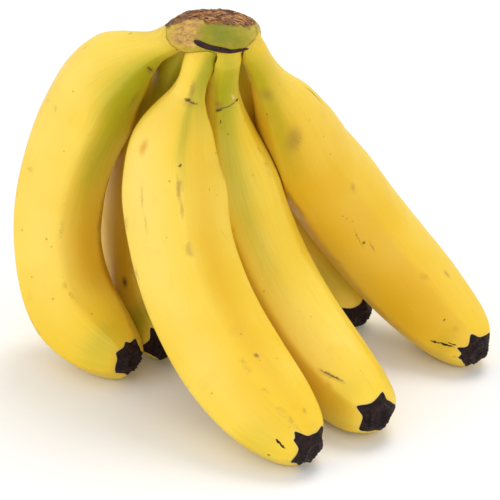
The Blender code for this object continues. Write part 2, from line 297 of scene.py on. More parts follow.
def fruit_line(fruit, middle):
    """Tables along a fruit: its middle line, the way ahead and the way to the inside of its bend, at fine
    shares of its length, with a straight stretch added at each end. middle: the crown's middle."""
    fine = np.linspace(0, 1, LINE_POINTS)
    turning = np.interp(fine, [0, 0.25, 0.5, 0.75, 1], [fruit.early, fruit.early, 1, fruit.late, fruit.last])
    turned = np.concatenate([[0], np.cumsum(turning[1:] + turning[:-1])])
    angle = math.radians(fruit.curl) * turned / turned[-1]
    heading, dip, roll = (math.radians(value) for value in (fruit.heading, -fruit.dip, fruit.roll))
    start = np.array([
        math.cos(dip) * math.cos(heading),
        math.cos(dip) * math.sin(heading),
        math.sin(dip),
    ])
    level = np.array([-math.sin(heading), math.cos(heading), 0])
    aside = math.cos(roll) * level + math.sin(roll) * np.cross(start, level)
    ahead = np.outer(np.cos(angle), start) + np.outer(np.sin(angle), aside)
    inward = np.outer(-np.sin(angle), start) + np.outer(np.cos(angle), aside)
    side = np.cross(start, aside)
    steps = (ahead[1:] + ahead[:-1]) / 2 * fruit.length * MM / (len(fine) - 1)
    line = np.vstack([np.zeros(3), np.cumsum(steps, axis=0)]) + np.array(fruit.attach) * MM + middle
    for turn, size in swell_sizes(fruit, fine):
        way = math.cos(math.radians(turn)) * inward + math.sin(math.radians(turn)) * side
        line += way * size[:, None] * MM / 2
    spare = SPARE_SHARE * fruit.length * MM
    line = np.vstack([line[0] - ahead[0] * spare, line, line[-1] + ahead[-1] * spare])
    ahead, inward = (np.vstack([rows[0], rows, rows[-1]]) for rows in (ahead, inward))
    return np.concatenate([[-SPARE_SHARE], fine, [1 + SPARE_SHARE]]), line, ahead, inward, side


def place_on_line(fruit, shares):
    """(middle, way ahead, way inwards, way sideways) at each share."""
    fine, *tables, side = LINES[fruit.name]
    line, ahead, inward = (
        np.stack([np.interp(shares, fine, rows[:, axis]) for axis in range(3)], axis=-1) for rows in tables
    )
    return line, ahead, inward, side


def ridged_outline(fruit):
    """How far the peel's outline across the fruit stands out of a circle, as a share of its radius, at
    fine turns: the straight-sided figure through the five ridges, blurred, over its mean."""
    fine = np.linspace(0, TURN, 720, endpoint=False)
    corners = np.radians(fruit.ridges)
    ends = np.append(corners[1:], corners[0] + TURN)
    half, middle = (ends - corners) / 2, (ends + corners) / 2
    offset = (fine[:, None] - middle + math.pi) % TURN - math.pi
    inside = np.abs(offset) <= half
    radius = np.where(inside, np.cos(half) / np.cos(np.where(inside, offset, 0)), 0).max(axis=1)
    blur = np.exp(-((np.minimum(fine, TURN - fine) / math.radians(RIDGE_BLUR)) ** 2))
    radius = np.real(np.fft.ifft(np.fft.fft(radius) * np.fft.fft(blur / blur.sum())))
    return radius / radius.mean() - 1


def peel_radius(fruit, shares, turns):
    """The body's radius, times the ridged outline where the peel has filled out, with shallow lumps and a
    groove round the joint of neck and fruit."""
    fine = np.linspace(0, TURN, 721)
    ridged = np.interp(turns % TURN, fine, np.append(OUTLINES[fruit.name], OUTLINES[fruit.name][0]))
    filled = np.interp(shares, [0, 0.1, 0.3, 0.6, 0.9, 1], [0.35, 0.7, 1, 0.85, 1.1, 1])
    body = body_radius(fruit, shares)
    wave = np.stack([np.cos(turns) * 1.6, np.sin(turns) * 1.6, shares * 9], axis=-1)
    fade = smooth_step(shares * 6) * smooth_step((1 - shares) * 8)
    lumps = mottle(wave, 1, int(fruit.length)) * LUMP_HEIGHT * fade
    from_joint = (shares - JOINT_SHARE) * fruit.length
    joint = np.exp(-((from_joint / JOINT_WIDTH) ** 2)) * JOINT_DEPTH * (0.55 + 0.45 * np.cos(turns - 0.5))
    return body * (1 + fruit.facets * filled * ridged) + lumps - joint


def peel_point(fruit, shares, turns, lift=0.0):
    """The point on the peel at each share and turn, raised by lift."""
    middle, _, inward, side = place_on_line(fruit, shares)
    way = np.cos(turns)[..., None] * inward + np.sin(turns)[..., None] * side
    return middle + way * (peel_radius(fruit, shares, turns) + lift)[..., None]


def depth_in_peel(fruit, points):
    """How deep each point is inside the fruit: the peel's radius at the nearest place on its line, less the
    distance from the line."""
    shares = np.linspace(-0.06, 1, 200)
    line = place_on_line(fruit, shares)[0]
    far = ((points[:, None, :] - line[None]) ** 2).sum(axis=-1)
    near = shares[np.argmin(far, axis=1)]
    for _ in range(2):
        middle, ahead, inward, side = place_on_line(fruit, near)
        near = np.clip(near + ((points - middle) * ahead).sum(axis=-1) / (fruit.length * MM), -0.06, 1.02)
    middle, ahead, inward, side = place_on_line(fruit, near)
    away = points - middle
    turns = np.arctan2(away @ side, (away * inward).sum(axis=-1))
    return peel_radius(fruit, near, turns) - np.linalg.norm(away, axis=-1)


CROWN_ACROSS = np.array([0, 0.35, 0.66, 0.86, 0.97, 1, 0.95, 0.8, 0.5, 0])
CROWN_UP = np.array([1, 0.96, 0.8, 0.52, 0.2, -0.1, -0.42, -0.74, -0.95, -1])


def crown_reach(angles):
    """The crown's profile: how far out it is, as a share of its half sizes, at each angle from straight up
    (0) over its edge to straight down (pi)."""
    corners = np.arctan2(CROWN_ACROSS, CROWN_UP)
    fine = np.linspace(0, math.pi, 721)
    step = np.clip(np.searchsorted(corners, fine, side="right") - 1, 0, len(corners) - 2)
    ax, ay, bx, by = CROWN_ACROSS[step], CROWN_UP[step], CROWN_ACROSS[step + 1], CROWN_UP[step + 1]
    straight = (ax * by - ay * bx) / (np.sin(fine) * (by - ay) - np.cos(fine) * (bx - ax))
    spare = 60
    blur = np.exp(-(np.linspace(-3, 3, spare + 1) ** 2))
    padded = np.concatenate([straight[spare:0:-1], np.abs(straight), straight[-2:-spare - 2:-1]])
    smooth = np.convolve(np.abs(padded), blur / blur.sum(), mode="same")[spare:-spare]
    return np.interp(angles, fine, np.minimum(smooth, np.abs(straight)))


def crown_level(points):
    """How far out each point is against the crown's surface in its direction: 1 is on it, 0 its middle."""
    shares = (points - CROWN_MIDDLE) / CROWN_HALF
    across = np.hypot(shares[..., 0], shares[..., 1])
    return np.hypot(across, shares[..., 2]) / crown_reach(np.arctan2(across, shares[..., 2]))


def clear_of_crown(points):
    """The same points, with any inside the crown moved straight out from its middle to just off it."""
    scale = CROWN_ROOM / np.maximum(crown_level(points), 1e-6)
    return np.where((scale > 1)[..., None], CROWN_MIDDLE + (points - CROWN_MIDDLE) * scale[..., None], points)


def lay_on_crown(points, kept):
    """The same points, moved in towards the crown's middle until only the kept share of their height over
    its surface is left: at 0 they lie on it."""
    level = np.maximum(crown_level(points), 1e-6)
    goal = CROWN_ROOM + np.maximum(level - CROWN_ROOM, 0) * kept
    return CROWN_MIDDLE + (points - CROWN_MIDDLE) * (np.minimum(goal, level) / level)[..., None]


# ---- making meshes

def keep_piece(name, mesh, material, solid):
    """Adds the smooth mesh as a piece of the hand and in place of its solid."""
    mesh.shade_smooth()
    mesh.materials.append(material)
    piece = bpy.data.objects.new(name, mesh)
    bpy.context.scene.collection.objects.link(piece)
    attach(piece, "root")
    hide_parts(solid)


def make_piece(name, rows, start, end, material, solid, shares=None, layers=None):
    """A closed skin: rows x columns of points, joined round the columns, with a fan to the start point and
    one to the end point. It gets a map (turn round, share along) and one number per point for each layer."""
    count, around = rows.shape[:2]
    index = np.arange(count * around).reshape(count, around)
    following = np.roll(index, -1, axis=1)
    quads = np.stack([index[:-1], following[:-1], following[1:], index[1:]], axis=-1).reshape(-1, 4)
    first = np.stack([np.full(around, count * around), following[0], index[0]], axis=-1)
    last = np.stack([np.full(around, count * around + 1), index[-1], following[-1]], axis=-1)
    corners = np.concatenate([first.ravel(), quads.ravel(), last.ravel()])
    starts = np.concatenate([np.arange(around) * 3, 3 * around + np.arange(len(quads)) * 4,
                             3 * around + 4 * len(quads) + np.arange(around) * 3])
    points = np.concatenate([rows.reshape(-1, 3), [start], [end]])
    mesh = bpy.data.meshes.new(name)
    mesh.vertices.add(len(points))
    mesh.vertices.foreach_set("co", points.astype(np.float32).ravel())
    mesh.loops.add(len(corners))
    mesh.loops.foreach_set("vertex_index", corners.astype(np.int32))
    mesh.polygons.add(len(starts))
    mesh.polygons.foreach_set("loop_start", starts.astype(np.int32))
    mesh.update(calc_edges=True)
    mesh.validate()
    if shares is None:
        shares = np.broadcast_to(np.linspace(0, 1, count)[:, None], (count, around))
    j = np.arange(around)
    quad_u = np.broadcast_to(np.stack([j, j + 1, j + 1, j], -1), (count - 1, around, 4)).ravel() / around
    wrapped = np.concatenate([shares, shares[:, :1]], axis=1)
    quad_v = np.stack([wrapped[:-1, :-1], wrapped[:-1, 1:], wrapped[1:, 1:], wrapped[1:, :-1]], -1).ravel()
    first_u = np.stack([j + 0.5, j + 1, j], -1).ravel() / around
    first_v = np.stack([wrapped[0, :-1], wrapped[0, 1:], wrapped[0, :-1]], -1).ravel()
    last_u = np.stack([j + 0.5, j, j + 1], -1).ravel() / around
    last_v = np.stack([wrapped[-1, :-1], wrapped[-1, :-1], wrapped[-1, 1:]], -1).ravel()
    all_u, all_v = np.concatenate([first_u, quad_u, last_u]), np.concatenate([first_v, quad_v, last_v])
    flat = np.stack([all_u, all_v], -1)
    mesh.uv_layers.new(name="skin").data.foreach_set("uv", flat.astype(np.float32).ravel())
    for layer, values in (layers or {}).items():
        if values.ndim == 3:
            ends = np.concatenate([values.reshape(-1, 3), values[:1].mean(axis=1), values[-1:].mean(axis=1)])
            made = mesh.attributes.new(layer, "FLOAT_VECTOR", "POINT")
            made.data.foreach_set("vector", ends.astype(np.float32).ravel())
        else:
            ends = np.concatenate([values.ravel(), [values[0].mean()], [values[-1].mean()]])
            made = mesh.attributes.new(layer, "FLOAT", "POINT")
            made.data.foreach_set("value", ends.astype(np.float32))
    keep_piece(name, mesh, material, solid)


# ---- making materials

def new_material(name):
    """A new material, its node tree and its points' places."""
    material = bpy.data.materials.new(name)
    material.use_nodes = True
    return material, material.node_tree, add(material.node_tree, "ShaderNodeTexCoord").outputs["Object"]


def set_inputs(tree, node, inputs):
    """Sets the node's inputs, or joins them where the value is a socket."""
    for key, value in inputs.items():
        if isinstance(value, bpy.types.NodeSocket):
            tree.links.new(value, node.inputs[key])
        else:
            node.inputs[key].default_value = value


def set_surface(tree, colour, roughness, specular, **others):
    """The surface's own values, each a number or a socket."""
    inputs = {"Base Color": colour, "Roughness": roughness, "Specular IOR Level": specular}
    set_inputs(tree, tree.nodes["Principled BSDF"], {**inputs, **others})


def add(tree, kind, inputs=None, **settings):
    """A new node with its settings made and its inputs set."""
    node = tree.nodes.new(kind)
    for key, value in settings.items():
        setattr(node, key, value)
    set_inputs(tree, node, inputs or {})
    return node


def mix(tree, factor, first, second):
    first, second = ((*value, 1) if isinstance(value, tuple) else value for value in (first, second))
    return add(tree, "ShaderNodeMix", {0: factor, 6: first, 7: second}, data_type="RGBA").outputs[2]


def ease(tree, value, low, high, start=0.0, end=1.0):
    inputs = {"Value": value, "From Min": low, "From Max": high, "To Min": start, "To Max": end}
    return add(tree, "ShaderNodeMapRange", inputs, interpolation_type="SMOOTHSTEP").outputs[0]


def sums(tree, operation, first, second):
    return add(tree, "ShaderNodeMath", {0: first, 1: second}, operation=operation).outputs[0]


def layer_of(tree, name, vector=False):
    node = add(tree, "ShaderNodeAttribute", attribute_name=name)
    return node.outputs["Vector" if vector else "Fac"]


def cloud(tree, where, scale, detail=3.0, roughness=0.5, distortion=0.0):
    inputs = {
        "Vector": where, "Scale": scale, "Detail": detail, "Roughness": roughness, "Distortion": distortion,
    }
    return add(tree, "ShaderNodeTexNoise", inputs).outputs["Fac"]


def bump(tree, height, strength, distance, below=None):
    inputs = {"Strength": strength, "Distance": distance, "Height": height}
    if below is not None:
        inputs["Normal"] = below
    return add(tree, "ShaderNodeBump", inputs).outputs["Normal"]


PALE_YELLOW = (0.81, 0.585, 0.066)
DEEP_YELLOW = (0.78, 0.52, 0.024)
# the colour of the painted shade on the facets turned from the light
SHADE_GOLD = (0.68, 0.36, 0.012)
GREEN = (0.36, 0.34, 0.009)
MARK_COLOURS = {
    "orange": (0.60, 0.30, 0.025),
    "brown": (0.26, 0.15, 0.03),
    "pale": (0.72, 0.62, 0.30),
    "dark": (0.07, 0.035, 0.012),
    "black": (0.012, 0.005, 0.006),
}


def mark_mask(tree, fruit, mark, flat, wobble):
    """1 inside the mark and 0 outside it: the distance from its middle in halves of its own length and
    width, in mm along and round the fruit, bent a little by the wobble."""
    kind, share, turn, long, wide, lean, strength = mark
    round_mm = TURN * float(body_radius(fruit, np.array(share))) / MM
    turn = (turn + 180) % 360 - 180
    centre = ((turn / 360 + 0.5) * round_mm, share * fruit.length, 0)
    placed = add(tree, "ShaderNodeMapping", {
        "Vector": flat, "Scale": (round_mm, fruit.length, 1), "Location": tuple(-value for value in centre),
    }).outputs[0]
    placed = add(tree, "ShaderNodeVectorMath", {0: placed, 1: wobble}, operation="ADD").outputs[0]
    placed = add(tree, "ShaderNodeMapping", {
        "Vector": placed, "Rotation": (0, 0, math.radians(lean)), "Scale": (wide / 2, long / 2, 1),
    }, vector_type="TEXTURE").outputs[0]
    distance = add(tree, "ShaderNodeVectorMath", {0: placed}, operation="LENGTH").outputs["Value"]
    soft = {"brown": (1.5, 0.1), "orange": (1.6, 0.1), "dark": (1.35, 0.5)}.get(kind, (1.15, 0.8))
    return ease(tree, distance, soft[0], soft[1], 0.0, strength)


def peel_material(fruit):
    """Waxy peel: drifting pale and deep yellow and green by their layers, painted shade as a deeper orange
    yellow on the facets turned from the light and a painted highlight as a paler yellow on the lit facets,
    both by their layers, fibres that run along the fruit, scuffed ridges, flecks, the fruit's own marks, then
    scurf at the crown and a dry rim at the blossom end. Each mark is (kind, share along, degrees round, mm
    long, mm wide, degrees leaning, strength)."""
    material, tree, place = new_material(fruit.name + "_peel")
    flat = add(tree, "ShaderNodeUVMap", uv_map="skin").outputs[0]
    grain = layer_of(tree, "grain", vector=True)
    drift = cloud(tree, place, 32, 2.0)
    colour = mix(tree, ease(tree, drift, 0.3, 0.7), PALE_YELLOW, DEEP_YELLOW)
    fibres = cloud(tree, grain, 0.9, 4.0, 0.6)
    colour = mix(tree, ease(tree, fibres, 0.5, 0.8, 0.0, 0.22), colour, (0.62, 0.38, 0.02))
    ragged = sums(tree, "ADD", layer_of(tree, "green"), ease(tree, fibres, 0.2, 0.8, -0.07, 0.07))
    colour = mix(tree, ease(tree, ragged, 0.02, 1.0), colour, GREEN)
    # painted shade: a deeper orange yellow on the facets turned from the light
    colour = mix(tree, layer_of(tree, "gold"), colour, SHADE_GOLD)
    # painted highlight: a paler yellow on the lit facets
    colour = mix(tree, layer_of(tree, "pale"), colour, (0.82, 0.60, 0.13))
    blush = cloud(tree, place, 75, 3.0)
    colour = mix(tree, ease(tree, blush, 0.62, 0.8, 0.0, 0.25), colour, (0.64, 0.35, 0.025))
    scuffs = ease(tree, cloud(tree, place, 95, 4.0, 0.6), 0.56, 0.68, 0.0, 0.5)
    scuffs = sums(tree, "MULTIPLY", layer_of(tree, "edge"), scuffs)
    colour = mix(tree, scuffs, colour, (0.33, 0.18, 0.03))
    flecks = add(tree, "ShaderNodeTexVoronoi", {"Vector": place, "Scale": 210.0, "Randomness": 1.0})
    few = ease(tree, add(tree, "ShaderNodeSeparateColor", {0: flecks.outputs["Color"]}).outputs[0], 0.9, 0.94)
    fleck = sums(tree, "MULTIPLY", ease(tree, flecks.outputs["Distance"], 0.13, 0.05), few)
    colour = mix(tree, sums(tree, "MULTIPLY", fleck, 0.5), colour, (0.22, 0.13, 0.02))
    wander = add(tree, "ShaderNodeTexNoise", {"Vector": place, "Scale": 900.0, "Detail": 2.0})
    centred = {0: wander.outputs["Color"], 1: (-0.5, -0.5, -0.5)}
    wobble = add(tree, "ShaderNodeVectorMath", centred, operation="ADD").outputs[0]
    wobble = add(tree, "ShaderNodeVectorMath", {0: wobble, 1: (1.6, 1.6, 0)}, operation="MULTIPLY").outputs[0]
    marked = None
    for kind, tint in MARK_COLOURS.items():
        cover = None
        for mark in fruit.marks:
            if mark[0] == kind:
                mask = mark_mask(tree, fruit, mark, flat, wobble)
                cover = mask if cover is None else sums(tree, "MAXIMUM", cover, mask)
        if cover is None:
            continue
        colour = mix(tree, cover, colour, tint)
        marked = cover if marked is None else sums(tree, "MAXIMUM", marked, cover)
    scurf = ease(tree, cloud(tree, place, 420, 4.0), 0.35, 0.6, 0.0, 0.3)
    colour = mix(tree, sums(tree, "MULTIPLY", layer_of(tree, "root"), scurf), colour, (0.50, 0.31, 0.05))
    colour = mix(tree, layer_of(tree, "rim"), colour, (0.66, 0.52, 0.20))
    shine = ease(tree, cloud(tree, place, 160, 3.0), 0.3, 0.7, 0.36, 0.5)
    shine = sums(tree, "ADD", shine, sums(tree, "MULTIPLY", marked, 0.2))
    pores = cloud(tree, place, 1300, 2.0)
    normal = bump(tree, pores, 0.12, 0.0002)
    normal = bump(tree, fibres, 0.2, 0.0003, normal)
    normal = bump(tree, cloud(tree, place, 130, 3.0), 0.25, 0.0006, normal)
    normal = bump(tree, sums(tree, "MULTIPLY", marked, -1.0), 0.4, 0.0002, normal)
    glow = {"Subsurface Weight": 0.06, "Subsurface Radius": (0.004, 0.002, 0.0005), "Subsurface Scale": 1.0}
    set_surface(tree, colour, shine, 0.26, Normal=normal, **glow)
    return material


def blossom_material():
    """Dried, nearly black and slightly glossy, with brown in its creases and a few pale grey flakes."""
    material, tree, place = new_material("blossom_end")
    folds = cloud(tree, place, 420, 5.0, 0.65, 0.6)
    colour = mix(tree, ease(tree, folds, 0.42, 0.7), (0.006, 0.002, 0.003), (0.036, 0.012, 0.009))
    flakes = cloud(tree, place, 900, 3.0)
    colour = mix(tree, ease(tree, flakes, 0.68, 0.78, 0.0, 0.6), colour, (0.12, 0.07, 0.055))
    normal = bump(tree, flakes, 0.5, 0.0003, bump(tree, folds, 0.9, 0.001))
    set_surface(tree, colour, ease(tree, flakes, 0.3, 0.7, 0.45, 0.8), 0.22, Normal=normal)
    return material


def crown_material():
    """Rind that is green to yellow with grey scurf, a dry brown fibrous cut, and a torn tan patch."""
    material, tree, place = new_material("crown")
    wide = cloud(tree, place, 130, 4.0, 0.6)
    colour = mix(tree, ease(tree, wide, 0.35, 0.65), (0.26, 0.235, 0.010), (0.38, 0.31, 0.022))
    colour = mix(tree, layer_of(tree, "leafy"), colour, (0.17, 0.20, 0.010))
    colour = mix(tree, layer_of(tree, "sunny"), colour, (0.52, 0.40, 0.05))
    colour = mix(tree, layer_of(tree, "tawny"), colour, (0.64, 0.44, 0.05))
    scurf = cloud(tree, place, 420, 4.0, 0.65)
    colour = mix(tree, ease(tree, scurf, 0.5, 0.72, 0.0, 0.6), colour, (0.24, 0.185, 0.04))
    run = add(tree, "ShaderNodeMapping", {
        "Vector": place, "Scale": (220, 700, 700), "Rotation": (0, 0.5, 0.4),
    })
    strands = cloud(tree, run.outputs[0], 1.0, 5.0, 0.65, 0.8)
    torn = mix(tree, ease(tree, strands, 0.35, 0.65), (0.62, 0.36, 0.09), (0.30, 0.17, 0.05))
    torn = mix(tree, ease(tree, wide, 0.5, 0.62, 0.0, 0.85), torn, (0.76, 0.47, 0.13))
    colour = mix(tree, layer_of(tree, "torn"), colour, torn)
    run = add(tree, "ShaderNodeMapping", {"Vector": place, "Scale": (300, 520, 640)})
    fibre = cloud(tree, run.outputs[0], 1.0, 6.0, 0.7, 2.0)
    woody = mix(tree, ease(tree, fibre, 0.36, 0.62), (0.065, 0.022, 0.014), (0.52, 0.235, 0.06))
    patch = cloud(tree, place, 190, 3.0, 0.55, 0.5)
    woody = mix(tree, ease(tree, patch, 0.5, 0.6, 0.0, 0.9), woody, (0.085, 0.025, 0.03))
    woody = mix(tree, ease(tree, patch, 0.42, 0.3, 0.0, 0.75), woody, (0.50, 0.22, 0.055))
    woody = mix(tree, sums(tree, "MULTIPLY", layer_of(tree, "grey"), 0.55), woody, (0.15, 0.12, 0.08))
    colour = mix(tree, layer_of(tree, "cut"), colour, woody)
    colour = mix(tree, layer_of(tree, "lip"), colour, (0.075, 0.024, 0.022))
    normal = bump(tree, scurf, 0.3, 0.0003, bump(tree, fibre, 0.5, 0.0006))
    set_surface(tree, colour, ease(tree, layer_of(tree, "cut"), 0.0, 1.0, 0.5, 0.85), 0.2, Normal=normal)
    return material


def fibre_material():
    """Dry bast, from tan to dark brown along each strand."""
    material, tree, place = new_material("dry_fibre")
    tone = cloud(tree, place, 240, 3.0)
    colour = mix(tree, ease(tree, tone, 0.35, 0.65), (0.14, 0.06, 0.03), (0.62, 0.34, 0.14))
    set_surface(tree, colour, 0.8, 0.5, Normal=bump(tree, cloud(tree, place, 1500, 2.0), 0.3, 0.0002))
    return material


def scar_material():
    """The dark dried edge under the crown's rind."""
    material, tree, place = new_material("dried_scar")
    tone = cloud(tree, place, 500, 4.0, 0.6)
    colour = mix(tree, ease(tree, tone, 0.4, 0.7), (0.012, 0.003, 0.003), (0.06, 0.018, 0.01))
    set_surface(tree, colour, 0.6, 0.25, Normal=bump(tree, tone, 0.5, 0.0004))
    return material


# ---- the fruits

def end_share(fruit, turns):
    """How far along the fruit its black end starts at each turn: where the peel has closed in to the tip's
    radius plus a ragged edge and the end's pointed arms."""
    tip, girth = fruit.tip / 2, fruit.girth / 2
    edge = 0.7 + 0.35 * np.sin(3 * turns + fruit.length) + 0.25 * np.sin(7 * turns + fruit.dip)
    for turn, wide, far in fruit.arms:
        edge = edge + far * np.exp(-np.abs(round_gap(turns, turn) / wide) ** 1.5)
    closing = np.clip(edge / (girth - tip), 0.005, 0.9)
    return fruit.taper + (1 - fruit.taper) * (1 - closing ** 2) ** (1 / END_ROUNDNESS)


def start_share(fruit, turns):
    """The share at which the fruit's middle line leaves the crown, and the share at which each column of
    the peel starts: where it leaves the crown, but no more than a little before the middle line does."""
    shares = np.linspace(-0.09, 0.16, 251)
    grid_shares, grid_turns = np.meshgrid(shares, turns, indexing="ij")
    inside = crown_level(peel_point(fruit, grid_shares, grid_turns)) < CROWN_ROOM
    own = shares[np.where(inside.any(axis=0), len(shares) - 1 - np.argmax(inside[::-1], axis=0), 0)]
    within = crown_level(place_on_line(fruit, shares)[0]) < CROWN_ROOM
    leave = shares[within].max()
    found = np.maximum(own, leave - HUG_BEFORE)
    for _ in range(12):
        found = (np.roll(found, 1) + found * 2 + np.roll(found, -1)) / 4
    return leave, found


def tint_layer(places, shares, turns):
    """The places added up, each a soft oval of its own strength."""
    total = np.zeros(shares.shape)
    for share, spread, turn, wide, strength in places:
        away = ((shares - share) / spread) ** 2 + (round_gap(turns, turn) / wide) ** 2
        total += strength * np.exp(-away)
    return np.clip(total, 0, 1)


def pull_in(points, middle, others):
    """Moves points that are inside any of the others towards their own line until they are just clear."""
    for other in others:
        deep = depth_in_peel(other, points) + TOUCH_GAP
        hit = np.nonzero(deep > 0)[0]
        if len(hit) == 0:
            continue
        low, high = np.full(len(hit), 0.05), np.ones(len(hit))
        for _ in range(11):
            half = (low + high) / 2
            trial = middle[hit] + (points[hit] - middle[hit]) * half[:, None]
            out = depth_in_peel(other, trial) + TOUCH_GAP <= 0
            low, high = np.where(out, half, low), np.where(out, high, half)
        points[hit] = middle[hit] + (points[hit] - middle[hit]) * low[:, None]
    return points


def make_peel(fruit, earlier):
    """Rows of the peel from the crown to the edge of the blossom end, closed at both ends."""
    turns = PEEL_TURNS
    (leave, first), last = start_share(fruit, turns), end_share(fruit, turns)
    steps = 1 - (1 - np.linspace(0, 1, PEEL_ROWS)) ** 1.7
    shares = first + (last - first) * steps[:, None]
    round_turns = np.broadcast_to(turns, shares.shape)
    kept = smooth_step((shares - leave + HUG_BEFORE) / (HUG_BEFORE + HUG_AFTER))
    points = lay_on_crown(peel_point(fruit, shares, round_turns), kept)
    middle = place_on_line(fruit, shares)[0]
    points = pull_in(points.reshape(-1, 3), middle.reshape(-1, 3), earlier).reshape(points.shape)
    points = clear_of_crown(points)
    centre = points[0].mean(axis=0)
    inner = np.linspace(0.12, 0.96, COLLAR_ROWS)[:, None, None]
    collar = clear_of_crown(centre + (points[0] - centre) * inner)
    tuck = peel_point(fruit, last, turns, -0.8 * MM) + place_on_line(fruit, last)[1] * 0.25 * MM
    points = np.concatenate([collar, points, tuck[None]])
    points[..., 2] = soft_floor(points[..., 2])
    points = np.clip(points, *cad_box)
    close = points[-1].mean(axis=0) + place_on_line(fruit, last.mean())[1] * 0.1 * MM
    shares = np.concatenate([np.repeat(shares[:1], COLLAR_ROWS, axis=0), shares, shares[-1:]])
    round_turns = np.broadcast_to(turns, shares.shape)
    grain = [20 * np.cos(round_turns), 20 * np.sin(round_turns), shares * fruit.length * 0.05]
    from_edge = (last - shares) * fruit.length
    radial = body_radius(fruit, shares) - body_radius(fruit, last)
    ridge_gap = np.min([np.abs(round_gap(round_turns, ridge)) for ridge in fruit.ridges], axis=0)
    layers = {
        "grain": np.stack(grain, axis=-1),
        "green": tint_layer(fruit.green + FAR_GREEN, shares, round_turns),
        "edge": np.exp(-((ridge_gap / 3.2) ** 2)) * smooth_step(shares * 5),
        # painted shade: where the deeper orange yellow goes on the facets turned from the light
        "gold": tint_layer(fruit.gold, shares, round_turns),
        # painted highlight: where the paler yellow goes on the lit facets
        "pale": tint_layer(fruit.pale, shares, round_turns),
        "root": np.exp(-((crown_level(points) - 1) * CROWN_HALF.mean() / (2.4 * MM)) ** 2),
        "rim": np.exp(-(np.abs(radial) / (0.45 * MM)) ** 2) * (from_edge < 3) * 0.8,
    }
    make_piece(
        fruit.name + "_peel", points, clear_of_crown(centre[None])[0], close, peel_material(fruit),
        fruit.name, shares, layers,
    )


def soft_floor(heights):
    """Heights pressed flat at the surface that the hand rests on."""
    least, ease_over = 0.02 * MM, 0.25 * MM
    over = heights - least
    return least + (over + np.sqrt(over ** 2 + ease_over ** 2)) / 2 - ease_over * 0.02


def make_blossom_end(fruit, material):
    """A wrinkled black plug: from inside the peel's edge, over a puckered side, to a dished face."""
    turns, side_share = PEEL_TURNS, 0.55
    last = end_share(fruit, turns)
    ahead = place_on_line(fruit, np.array(1.0))[1]
    rows = [peel_point(fruit, last, turns, -0.75 * MM) + ahead * 0.55 * MM]
    rim = peel_point(fruit, last, turns, 0.1 * MM) + ahead * 0.12 * MM
    middle, _, inward, side = place_on_line(fruit, np.array(1.0))
    way = np.cos(turns)[:, None] * inward + np.sin(turns)[:, None] * side
    lobes = sum(np.exp(-np.abs(round_gap(turns, turn) / 16) ** 2) for turn, _, _ in fruit.arms[-5:])
    stub = fruit.tip / 2 * STUB_NARROWING * MM * (0.93 + 0.1 * lobes)
    for step in np.linspace(0, 1, END_ROWS):
        if step < side_share:
            up = step / side_share
            goal = middle + way * stub[:, None] + ahead * STUB_LENGTH * (0.15 + 0.75 * up ** 1.5)
            row = rim + (goal - rim) * smooth_step(up)
        else:
            inwards = (step - side_share) / (1 - side_share)
            dish = 0.9 + 0.12 * np.sin(math.pi * min(1.0, inwards * 1.6)) - 0.42 * smooth_step(inwards * 1.2)
            row = middle + way * (stub * (1 - 0.97 * inwards))[:, None] + ahead * STUB_LENGTH * dish
        rows.append(row)
    points = np.array(rows)
    fold = 0.32 * MM * mottle(points, 1.7 * MM, 11) + 0.16 * MM * mottle(points, 0.8 * MM, 12)
    share = np.concatenate([[0], np.linspace(0, 1, END_ROWS)])[:, None]
    crease = np.cos(17 * turns + 2 * np.sin(3 * turns))[None] * 0.14 * MM * np.sin(math.pi * share)
    out = points - middle
    out /= np.maximum(np.linalg.norm(out, axis=-1, keepdims=True), 1e-9)
    points = points + out * ((fold + crease) * smooth_step(share * 5))[..., None]
    points[..., 2] = soft_floor(points[..., 2])
    start = rows[0].mean(axis=0) + ahead * 0.15 * MM
    make_piece(
        fruit.name + "_blossom_end", points, start, points[-1].mean(axis=0), material,
        fruit.name,
    )


# ---- the crown

def crown_surface(turns, angles, sink=0.0):
    """Points on the crown's turned profile, sunk straight towards its middle by sink metres."""
    reach = crown_reach(angles)
    across = np.sin(angles)
    shares = np.stack([across * np.cos(turns), across * np.sin(turns), np.cos(angles)], axis=-1)
    out = shares * reach[..., None] * CROWN_HALF
    far = np.linalg.norm(out, axis=-1, keepdims=True)
    return CROWN_MIDDLE + out * (1 - np.asarray(sink)[..., None] / far)


def cut_edge(turns):
    """How far out from the crown's middle the brown cut reaches, as a share of its half width."""
    degrees = np.degrees(turns) % 360
    at = [0, 40, 90, 140, 180, 199, 210, 218, 236, 248, 258, 270, 290, 312, 335, 360]
    reach = [0.9, 0.86, 0.8, 0.92, 0.99, 0.92, 0.76, 0.6, 0.46, 0.5, 0.62, 0.62, 0.66, 0.76, 0.88, 0.9]
    return np.interp(degrees, at, reach)


